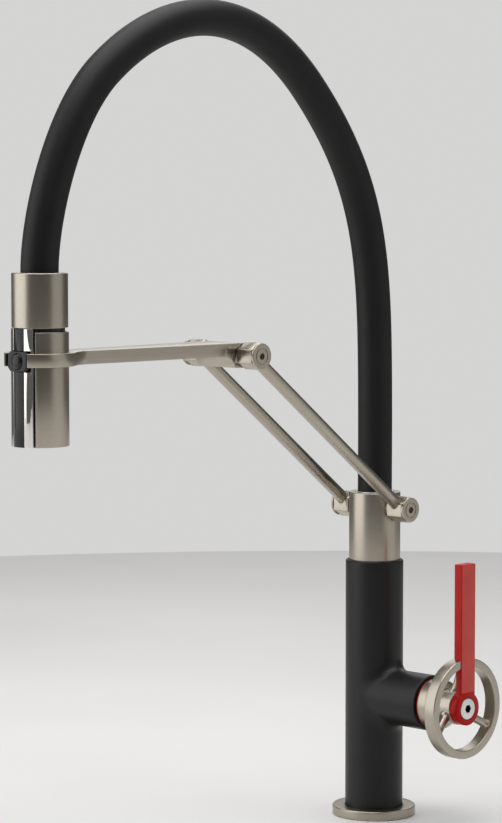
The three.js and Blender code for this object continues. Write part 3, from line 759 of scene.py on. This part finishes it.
def make_lever_screw():
    low, high = span("lever_screw")
    profile = soften([
        (0, low.x, 0), (CAP_SHANK, low.x, 0.3), (CAP_SHANK, CAP_BACK, 0), (CAP_RADIUS, CAP_BACK, 0.3),
        (CAP_RADIUS, high.x, 0.45), (0, high.x, 0),
    ], closed=False)
    screw = turned_on_handle("cap_screw", profile, sides=SMALL_SIDES)
    outline = hexagon(CAP_SOCKET, (0, HANDLE_AXIS.z))
    socket = extruded("socket", outline, high.x - CAP_SOCKET_DEPTH, high.x + 1, axis="x")
    combine(screw, socket)
    # the cap's socket gets painted shade: near-black from a little under its face on back
    steel = polished_metal("cap_steel", STEEL, STEEL_ROUGHNESS, socket_shade_x=high.x - CAP_SHADE_BELOW)
    fit(screw, "handle", "satin_steel", steel, "lever_screw")


# ---- swivel collar, pivots and links ----
BOSS_START = 15
BOSS_END = 18.6
BOSS_RADIUS = 7.2
COLLAR_RADIUS = 18.45
COLLAR_BORE = 12.2
SPIGOT_RADIUS = 14.6
SPIGOT_TOP = 184.8
FERRULE_SEAT = 13.8
FERRULE_SEAT_Z = 204.5
FERRULE_BORE = 12.5


def add_bosses(piece, pivot):
    """The round faces on both sides of a pivot that the blocks turn against."""
    for low, high in ((BOSS_START, BOSS_END), (-BOSS_END, -BOSS_START)):
        boss = cylinder("boss", BOSS_RADIUS, low, high, "x", pivot, SMALL_SIDES)
        combine(piece, boss, how="UNION")


def make_collar():
    low, high = span("arm_collar")
    profile = soften([
        (COLLAR_BORE, low.z, 0), (SPIGOT_RADIUS, low.z, 0.3), (SPIGOT_RADIUS, SPIGOT_TOP, 0.2),
        (COLLAR_RADIUS, SPIGOT_TOP, 0.5), (COLLAR_RADIUS, high.z, 0.7), (FERRULE_SEAT, high.z, 0.3),
        (FERRULE_SEAT, FERRULE_SEAT_Z, 0), (COLLAR_BORE, FERRULE_SEAT_Z, 0),
    ])
    collar = turned("collar", profile)
    add_bosses(collar, LOWER_PIVOT)
    fit(collar, "swivel", "brushed_nickel", turned_nickel("nickel_collar", "z", (0, 0, 0)), "arm_collar")


def make_ferrule(steel):
    low, high = span("hose_ferrule")
    profile = soften([
        (FERRULE_BORE, low.z, 0), (high.x, low.z, 0), (high.x, high.z, 0.25), (FERRULE_BORE, high.z, 0.3),
    ])
    ferrule = turned("ferrule", profile)
    fit(ferrule, "swivel", "satin_steel", steel, "hose_ferrule")


SCREW_HEAD = 8.9
SCREW_SHANK = 3
SCREW_START = 14.2  # distances from the middle of the tap, along the pivot
SCREW_SEAT = 33.5
SCREW_FACE = 35.1
SCREW_GROOVE = {"outer": 5.65, "outer_floor": 5.55, "inner_floor": 5.15, "inner": 5.05, "depth": 0.55}
SCREW_SOCKET = 2.5  # from its centre to a corner
SCREW_SOCKET_DEPTH = 3
PIVOT_SIDES = {"right": 1, "left": -1}


def make_pivot_screw(name, side, pivot, body, material):
    """Wide flat screw head with a round groove and a hexagon socket, on a plain shank."""
    floor = SCREW_FACE - SCREW_GROOVE["depth"]
    profile = soften([
        (0, SCREW_START, 0), (SCREW_SHANK, SCREW_START, 0.4), (SCREW_SHANK, SCREW_SEAT, 0),
        (SCREW_HEAD, SCREW_SEAT, 0.25), (SCREW_HEAD, SCREW_FACE, 0.5),
        (SCREW_GROOVE["outer"], SCREW_FACE, 0.12), (SCREW_GROOVE["outer_floor"], floor, 0),
        (SCREW_GROOVE["inner_floor"], floor, 0), (SCREW_GROOVE["inner"], SCREW_FACE, 0.12),
        (0, SCREW_FACE, 0),
    ], closed=False)
    screw = turned(f"{name}_pivot_screw", profile, axis="x", centre=pivot, sides=72)
    outline = hexagon(SCREW_SOCKET, (pivot.y, pivot.z))
    socket = extruded("socket", outline, SCREW_FACE - SCREW_SOCKET_DEPTH, SCREW_FACE + 1, axis="x")
    combine(screw, socket)
    if side < 0:
        screw.data.transform(Matrix.Diagonal((-1, 1, 1, 1)))
        screw.data.flip_normals()
    fit(screw, body, "brushed_nickel", material, f"{name}_screw")


LINK = UPPER_PIVOT - LOWER_PIVOT
ROD_RADIUS = 4.4
ROD_X = 26.0
ROD_END_GAP = 4.8
BLOCK_INNER = 19.0
BLOCK_OUTER = 33.3
BLOCK_FLATS = 16.4  # across the hexagon's flats
BLOCK_PLAY = 0.15  # room round a rod in its block
BORE_PLAY = 0.3  # room beyond a rod's end
BORE_REACH = 40  # longer than the part of a rod that is in its block
PIN_BORE = 3.2
WASHER_RECESS = {"radius": 5.8, "depth": 1.2}


def link_bar(name, radius, x, start, end, rounding=0.0):
    """A round bar along the link, between two distances from the lower pivot."""
    corners = [(0, start, 0), (radius, start, rounding), (radius, end, rounding), (0, end, 0)]
    profile = soften(corners, closed=False)
    turn = Vector((0, 0, 1)).rotation_difference(LINK).to_matrix().to_4x4()
    return turned(name, profile, centre=LOWER_PIVOT + Vector((x, 0, 0)), sides=SMALL_SIDES, place=turn)


def make_hex_block(name, side, pivot, bore_start, bore_end, material):
    outline = hexagon(BLOCK_FLATS / math.sqrt(3), (pivot.y, pivot.z), 30)
    low, high = sorted((side * BLOCK_INNER, side * BLOCK_OUTER))
    piece = extruded(f"{name}_hex_block", outline, low, high, axis="x")
    pin = cylinder("pin", PIN_BORE, low - 1, high + 1, "x", pivot, SMALL_SIDES)
    bore = link_bar("bore", ROD_RADIUS + BLOCK_PLAY, side * ROD_X, bore_start, bore_end)
    recess_ends = sorted((side * (BLOCK_INNER - 1), side * (BLOCK_INNER + WASHER_RECESS["depth"])))
    recess = cylinder("recess", WASHER_RECESS["radius"], *recess_ends, "x", pivot, SMALL_SIDES)
    bevel(piece, 0.55)
    combine(piece, pin, recess, bore)
    fit(piece, "links", "brushed_nickel", material, f"{name}_block")


def make_links():
    along_link = straight_nickel("nickel_rods", (1500, 30, 30))
    blocks = straight_nickel("nickel_blocks", (1800, 140, 1800))
    screws_low = turned_nickel("nickel_lower_screws", "x", LOWER_PIVOT)
    screws_high = turned_nickel("nickel_upper_screws", "x", UPPER_PIVOT)
    length = LINK.length
    for name, side in PIVOT_SIDES.items():
        rod = link_bar(f"{name}_link_rod", ROD_RADIUS, side * ROD_X, ROD_END_GAP, length - ROD_END_GAP, 0.5)
        fit(rod, "links", "brushed_nickel", along_link, f"{name}_rod")
        make_hex_block(f"lower_{name}", side, LOWER_PIVOT, ROD_END_GAP - BORE_PLAY, BORE_REACH, blocks)
        upper_end = length - ROD_END_GAP + BORE_PLAY
        make_hex_block(f"upper_{name}", side, UPPER_PIVOT, length - BORE_REACH, upper_end, blocks)
        make_pivot_screw(f"lower_{name}", side, LOWER_PIVOT, "swivel", screws_low)
        make_pivot_screw(f"upper_{name}", side, UPPER_PIVOT, "arm", screws_high)


# ---- spray arm ----
ARM_TOP = 348.8
ARM_BOTTOM = 340.0
RING_OUTER = 23.0
RING_INNER = 19.2
RING_MOUTH = 10.6
ROOT_HALF = 17.9
ROOT_OVERHANG = 9.5  # how far the arm's root reaches behind its pivot
ROOT_STRAIGHT = 14
ROOT_CURVE = 60
WAIST_HALF = 10.6
ARM_FLARE = 24.0  # radius of the curve from the waist into the ring
ARM_BOSS = 8.5
ARM_FILLET = 12
ARM_FILLET_AT = 19.5


def arm_plan():
    """The arm seen from above: a tapering plate that flares into an open ring round the spray."""
    flare_x = WAIST_HALF + ARM_FLARE
    reach = RING_OUTER + ARM_FLARE
    flare_y = SPRAY_AXIS.y + math.sqrt(reach ** 2 - flare_x ** 2)
    meet = math.degrees(math.atan2(flare_y - SPRAY_AXIS.y, flare_x))
    mouth_outer = -90 + math.degrees(math.asin(RING_MOUTH / RING_OUTER))
    mouth_inner = -90 + math.degrees(math.asin(RING_MOUTH / RING_INNER))
    root_y = UPPER_PIVOT.y + ROOT_OVERHANG
    half = soften([
        (0, root_y, 0), (ROOT_HALF, root_y, 0), (ROOT_HALF, UPPER_PIVOT.y - ROOT_STRAIGHT, ROOT_CURVE),
        (WAIST_HALF, flare_y + 2, 0),
    ], closed=False)[1:-1]
    half += arc(flare_x, flare_y, ARM_FLARE, 180, 180 + meet, 10)
    half += arc(0, SPRAY_AXIS.y, RING_OUTER, meet, mouth_outer, 32)[1:]
    half += arc(0, SPRAY_AXIS.y, RING_INNER, mouth_inner, 90, 40)
    return half + [(-x, y) for x, y in reversed(half[:-1])]


def arm_side():
    """The arm seen from the side: a round boss at the pivot and a flat plate with a fillet between them."""
    y, z = UPPER_PIVOT.y, UPPER_PIVOT.z
    front = SPRAY_AXIS.y - RING_OUTER - 5
    outline = arc(y, z, ARM_BOSS, -90, 90, 16)
    outline += [(y - 4, ARM_TOP), (front, ARM_TOP), (front, ARM_BOTTOM)]
    outline += arc(y - ARM_FILLET_AT, ARM_BOTTOM - ARM_FILLET, ARM_FILLET, 90, 20, 10)
    return outline


def make_arm():
    plan = extruded("arm", arm_plan(), 320, 360)
    side = extruded("side", arm_side(), -30, 30, axis="x")
    combine(plan, side, how="INTERSECT")
    threads = cylinder("threads", PIN_BORE, -20, 20, "x", UPPER_PIVOT, SMALL_SIDES)
    bevel(plan, 0.6)
    add_bosses(plan, UPPER_PIVOT)
    combine(plan, threads)
    fit(plan, "arm", "brushed_nickel", straight_nickel("nickel_arm", (1600, 70, 1600)), "spray_arm")


# ---- spray head ----
WALL = 2.1
PANEL_HALF = 35.4
SEAM_HALF = 39.4
INLAY_HALF = 15.5
INLAY_DEPTH = 0.5
INLAY_GAP = 0.3  # degrees between the inlay and each side of its groove
INLAY_SINK = 0.02
SHELL_RADIUS = 18.6
SPRAY_BORE = 7.5
HOSE_SEAT = 12.6
HOSE_SEAT_Z = 388
BUTTON_CORNER = 2.4
BUTTON_BACK = 16.5
BUTTON_WELL = 5.4
DOME_DEPTH = 2.2
FACE_RECESS = 2.1
FACE_INNER = 11
FACE_RIM = 12.4
NOZZLE_RINGS = ((3.0, 6), (6.0, 12), (8.9, 18))  # (radius, count)
NOZZLE = {"segments": 16, "radius1": 0.55, "radius2": 0.85, "depth": 1.5}
NOZZLE_RISE = 1.75


def wall_outline(outer, start, end, thickness=WALL):
    """A curved wall about the spray's axis, between two angles measured from -Y towards +X."""
    steps = max(8, round((end - start) / 3))
    return (arc(0, SPRAY_AXIS.y, outer, start - 90, end - 90, steps)
            + arc(0, SPRAY_AXIS.y, outer - thickness, end - 90, start - 90, steps))


def make_spray_collar():
    low, high = span("spray_collar")
    radius = high.x
    profile = soften([
        (SPRAY_BORE, low.z, 0), (radius, low.z, 0.45), (radius, high.z, 0.9), (HOSE_SEAT, high.z, 0.3),
        (HOSE_SEAT, HOSE_SEAT_Z, 0), (SPRAY_BORE, HOSE_SEAT_Z, 0),
    ])
    collar = turned("spray_top", profile, centre=SPRAY_AXIS)
    material = turned_nickel("nickel_spray", "z", SPRAY_AXIS)
    fit(collar, "spray", "brushed_nickel", material, "spray_collar")
    return material


def button_window(gap=0.25):
    """The hole in the front panel and its inlay that the button's block sits in."""
    low, high = span("button_bezel")
    return block("window", (low.x - gap, SPRAY_AXIS.y - 25, low.z - gap),
                 (high.x + gap, SPRAY_AXIS.y - 10, high.z + gap))


def make_shells(nickel, gloss):
    low, high = span("rear_shell")
    rear = extruded("spray_rear", wall_outline(SHELL_RADIUS, SEAM_HALF, 360 - SEAM_HALF), low.z, high.z)
    bevel(rear, 0.35)
    fit(rear, "spray", "brushed_nickel", nickel, "rear_shell")
    low, high = span("front_panel")
    front = extruded("spray_front", wall_outline(SHELL_RADIUS, -PANEL_HALF, PANEL_HALF), low.z, high.z)
    outline = wall_outline(SHELL_RADIUS + 1, -INLAY_HALF, INLAY_HALF, 1 + INLAY_DEPTH)
    groove = extruded("groove", outline, low.z - 1, high.z + 1)
    combine(front, groove, button_window())
    bevel(front, 0.12)
    chrome = polished_metal("chrome_panel", ((0.70, 0.685, 0.655), (0.76, 0.745, 0.715)), (0.035, 0.075))
    fit(front, "spray", "polished_steel", chrome, "front_panel")
    half = INLAY_HALF - INLAY_GAP
    outline = wall_outline(SHELL_RADIUS - INLAY_SINK, -half, half, INLAY_DEPTH - 2 * INLAY_SINK)
    inlay = extruded("panel_inlay", outline, low.z, high.z)
    combine(inlay, button_window())
    bevel(inlay, 0.1)
    fit(inlay, "spray", "black_plastic", gloss, "front_panel")


def make_button(gloss):
    low, high = span("button_bezel")
    dome_low, dome_high = span("mode_button")
    corner = BUTTON_CORNER
    outline = [
        (high.x, -low.z - corner), (high.x - corner, -low.z),
        (low.x + corner, -low.z), (low.x, -low.z - corner),
        (low.x, -high.z + corner), (low.x + corner, -high.z),
        (high.x - corner, -high.z), (high.x, -high.z + corner),
    ]
    bezel = extruded("button_frame", outline, low.y, high.y, axis="y")
    core = cylinder("core", BUTTON_BACK, low.z - 5, high.z + 5, centre=SPRAY_AXIS)
    centre = (0, 0, middle("mode_button").z)
    well = cylinder("well", BUTTON_WELL, low.y - 5, high.y + 5, "y", centre, SMALL_SIDES)
    combine(bezel, core)
    bevel(bezel, 0.7)
    combine(bezel, well)
    fit(bezel, "spray", "black_plastic", gloss, "button_bezel")
    radius = dome_high.x
    dome = [(radius * math.sin(a), dome_low.y + DOME_DEPTH * (1 - math.cos(a)))
            for a in (math.pi / 2 * i / 14 for i in range(15))]
    profile = [*dome, (radius, dome_high.y), (0, dome_high.y)]
    button = turned("button_dome", profile, axis="y", centre=centre, sides=SMALL_SIDES)
    plastic = moulded("button_gloss", BLACK, (0.2, 0.3), specular=0.4)
    fit(button, "button", "black_plastic", plastic, "mode_button")


def make_spray_face(rubber):
    low, high = span("spray_face")
    profile = soften([
        (0, low.z + FACE_RECESS, 0), (FACE_INNER, low.z + FACE_RECESS, 0.5), (FACE_RIM, low.z, 0.3),
        (high.x, low.z, 0.4), (high.x, high.z, 0), (0, high.z, 0),
    ], closed=False)
    face = turned("nozzle_plate", profile, centre=SPRAY_AXIS)
    bm = bmesh.new()
    for ring, count in NOZZLE_RINGS:
        for i in range(count):
            a = 2 * math.pi * i / count
            place = (ring * math.cos(a), SPRAY_AXIS.y + ring * math.sin(a), low.z + NOZZLE_RISE)
            bmesh.ops.create_cone(bm, cap_ends=True, matrix=Matrix.Translation(place), **NOZZLE)
    nozzles = finish_mesh("nozzles", bm)
    combine(face, nozzles, how="UNION")
    fit(face, "spray", "seal_rubber", rubber, "spray_face")


# ---- hose ----
HOSE_RADIUS = 12.3
HOSE_BORE = 8.6
LINE_RADIUS = 6.0
LINE_BORE = 4.2
# Where the hose passes: place in the Y-Z plane, heading above -Y in degrees, handle lengths.
HOSE_KNOTS = (
    {"y": 0.0, "z": 205.0, "heading": 90.0, "before": 0.0, "after": 66.0},
    {"y": 0.0, "z": 300.0, "heading": 89.5, "before": 30.0, "after": 100.0},
    {"y": -70.0, "z": 523.0, "heading": 46.0, "before": 96.0, "after": 87.0},
    {"y": -262.0, "z": 530.0, "heading": -40.0, "before": 74.0, "after": 46.0},
    {"y": SPRAY_AXIS.y, "z": 400.4, "heading": -90.0, "before": 35.0, "after": 0.0},
)
HOSE_TAIL = 12.0  # how far the hose goes on down into the spray's collar
# The hose's three stretches: (name, bodies, first and last share of its rings).
STRETCHES = (
    ("riser", ("swivel", "links"), (0.0, 0.44)),
    ("arch", ("links", "arm"), (0.44, 0.86)),
    ("drop", ("arm", "spray"), (0.86, 1.0)),
)


def heading(knot):
    a = math.radians(knot["heading"])
    return Vector((0, -math.cos(a), math.sin(a)))


def between_knots(first, second, steps=200):
    """Points on the curve from one knot to the next, without its last point."""
    start, end = [Vector((0, knot["y"], knot["z"])) for knot in (first, second)]
    leave = start + heading(first) * first["after"]
    arrive = end - heading(second) * second["before"]
    points = []
    for i in range(steps):
        t = i / steps
        u = 1 - t
        points.append(start * u ** 3 + leave * (3 * u * u * t) + arrive * (3 * u * t * t) + end * t ** 3)
    return points


def hose_centres(step=4.0):
    """Evenly spaced points and directions along the middle of the hose."""
    points = []
    for first, second in zip(HOSE_KNOTS, HOSE_KNOTS[1:]):
        points += between_knots(first, second)
    last = HOSE_KNOTS[-1]
    points.append(Vector((0, last["y"], last["z"])))
    points.append(Vector((0, last["y"], last["z"] - HOSE_TAIL)))
    lengths = np.concatenate([[0], np.cumsum([(b - a).length for a, b in zip(points, points[1:])])])
    count = round(lengths[-1] / step)
    wanted = np.linspace(0, lengths[-1], count + 1)
    coords = np.array(points)
    places = np.stack([np.interp(wanted, lengths, coords[:, k]) for k in range(3)], 1)
    slopes = np.gradient(places, axis=0)
    return places, slopes / np.linalg.norm(slopes, axis=1)[:, None]


def tube_along(name, places, directions, outer, inner, sides):
    """A thick-walled tube along points in the Y-Z plane."""
    bm = bmesh.new()
    across = Vector((1, 0, 0))
    rings = []
    for radius in (outer, inner):
        wall = []
        for place, direction in zip(places, directions):
            up = Vector(direction).cross(across)
            angles = [2 * math.pi * i / sides for i in range(sides)]
            centre = Vector(place)
            ring = [centre + radius * (across * math.cos(a) + up * math.sin(a)) for a in angles]
            wall.append([bm.verts.new(point) for point in ring])
        rings.append(wall)
    skin, lining = rings
    loop = [*skin, *reversed(lining), skin[0]]
    for first, second in zip(loop, loop[1:]):
        bridge(bm, first, second)
    return finish_mesh(name, bm)


def make_hose():
    places, directions = hose_centres()
    sheath = silicone_black()
    plastic = moulded("line_plastic", WHITE, (0.4, 0.5))
    last = len(places) - 1
    for name, bodies, (first, second) in STRETCHES:
        here = slice(round(first * last), round(second * last) + 1)
        hose = tube_along(f"hose_{name}", places[here], directions[here], HOSE_RADIUS, HOSE_BORE, 64)
        line = tube_along(f"line_{name}", places[here], directions[here], LINE_RADIUS, LINE_BORE, 24)
        for piece, material, slot, node in (
            (hose, sheath, "black_hose", "spout_hose"), (line, plastic, "white_plastic", "water_line"),
        ):
            paint(piece, material)
            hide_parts(node)
            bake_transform(piece)


# ---- the pieces inside, which keep their CAD shapes ----
def finish_inner_pieces(brass, steel, plastic, rubber, black):
    washers = [f"{end}_{side}_washer" for end in ("lower", "upper") for side in PIVOT_SIDES]
    kept = (
        ("seal_rubber", rubber, ["deck_gasket", "upper_collar_seal", "lower_collar_seal"]),
        ("brass", brass, ["base_insert", "valve_seat", "cartridge_nut", "hose_nipple"]),
        ("satin_steel", steel, ["hot_supply_tube", "cold_supply_tube", "riser_tube", "handle_spindle"]),
        ("white_plastic", plastic, ["mixing_cartridge", "swivel_bushing", *washers]),
        ("black_plastic", black, ["spray_core"]),
    )
    for slot, material, nodes in kept:
        for node in nodes:
            paint(frame["nodes"][node], material)


# ---- stage, light and camera ----
def make_floor():
    bm = bmesh.new()
    bmesh.ops.create_circle(bm, cap_ends=True, segments=128, radius=1500)
    floor = finish_mesh("floor", bm)
    floor.location.z = -0.0002
    shader = Shader("floor_paper")
    clouds = shader.clouds(3, 3.0)
    shader.colour(shader.mix(shader.ramp(clouds, 0, 1), (0.74, 0.735, 0.725), (0.78, 0.775, 0.765)))
    shader.roughness(shader.ramp(clouds, 0.6, 0.75))
    floor.data.materials.append(shader.material)


CAMERA_PLACE = (1.43076, -1.55705, 0.46170)
CAMERA_BEARING = math.radians(45)
CAMERA_PITCH = math.radians(90 - 4.577)
TARGET = Vector((0.0, -0.12, 0.30))
TOWARDS_CAMERA = Vector((math.sin(CAMERA_BEARING), -math.cos(CAMERA_BEARING), 0))


def area_light(name, size, energy, place):
    """A rectangular light, which faces down until it is turned."""
    light = bpy.data.lights.new(name, "AREA")
    light.shape = "RECTANGLE"
    light.size, light.size_y = size
    light.energy = energy
    panel = bpy.data.objects.new(name, light)
    panel.location = place
    bpy.context.scene.collection.objects.link(panel)
    return panel


def make_panel(name, turn, distance, height, size, radiance):
    """A soft light panel; turn is its bearing in degrees to the right of the camera, seen from the object."""
    direction = Matrix.Rotation(math.radians(turn), 3, "Z") @ TOWARDS_CAMERA
    place = Vector((TARGET.x, TARGET.y, height)) + direction * distance
    panel = area_light(name, size, radiance * math.pi * size[0] * size[1], place)
    panel.rotation_euler = (TARGET - panel.location).to_track_quat("-Z", "Y").to_euler()


def make_lights():
    make_panel("left_panel", -80, 1.25, 0.45, (1.35, 2.0), 1.5)
    make_panel("right_panel", 76, 1.25, 0.45, (1.45, 2.0), 0.42)
    make_panel("rear_panel", 178, 2.2, 1.3, (2.0, 1.2), 1.2)
    area_light("top_panel", (1.8, 1.8), 30, (TARGET.x, TARGET.y, 1.7))


def make_world():
    """Pale where it is seen, and a dim room where it is only reflected."""
    world = bpy.data.worlds.new("studio")
    world.use_nodes = True
    bpy.context.scene.world = world
    nodes, links = world.node_tree.nodes, world.node_tree.links
    nodes.clear()
    out = nodes.new("ShaderNodeOutputWorld")
    mix = nodes.new("ShaderNodeMixShader")
    seen = nodes.new("ShaderNodeLightPath")
    room = nodes.new("ShaderNodeBackground")
    paper = nodes.new("ShaderNodeBackground")
    room.inputs["Color"].default_value = (0.125, 0.122, 0.118, 1)
    paper.inputs["Color"].default_value = (0.66, 0.66, 0.655, 1)
    links.new(seen.outputs["Is Camera Ray"], mix.inputs[0])
    links.new(room.outputs[0], mix.inputs[1])
    links.new(paper.outputs[0], mix.inputs[2])
    links.new(mix.outputs[0], out.inputs["Surface"])


def make_camera():
    data = bpy.data.cameras.new("camera")
    data.sensor_width = 36
    data.lens = 128.8
    camera = bpy.data.objects.new("camera", data)
    camera.location = CAMERA_PLACE
    camera.rotation_euler = (CAMERA_PITCH, 0, CAMERA_BEARING)
    bpy.context.scene.collection.objects.link(camera)
    bpy.context.scene.camera = camera
    bpy.context.scene.view_settings.view_transform = "Standard"


def build():
    make_camera()
    make_world()
    make_lights()
    make_floor()
    steel = polished_metal("satin_steel", STEEL, STEEL_ROUGHNESS)
    brass = polished_metal("machined_brass", BRASS, (0.3, 0.4))
    plastic = moulded("white_plastic", WHITE, (0.4, 0.5))
    rubber = moulded("seal_rubber", ((0.014, 0.014, 0.014), (0.02, 0.02, 0.02)), (0.6, 0.75), grain=1800)
    black = moulded("core_plastic", BLACK, (0.35, 0.45))
    make_flange()
    make_column()
    make_bonnet()
    make_handwheel()
    lever = make_lever()
    make_index_ring(lever.data.materials[0])
    make_lever_screw()
    make_collar()
    make_ferrule(steel)
    make_links()
    make_arm()
    gloss = moulded("black_gloss", BLACK, (0.16, 0.24), specular=0.3)
    make_shells(make_spray_collar(), gloss)
    make_button(gloss)
    make_spray_face(rubber)
    make_hose()
    finish_inner_pieces(brass, steel, plastic, rubber, black)


build()
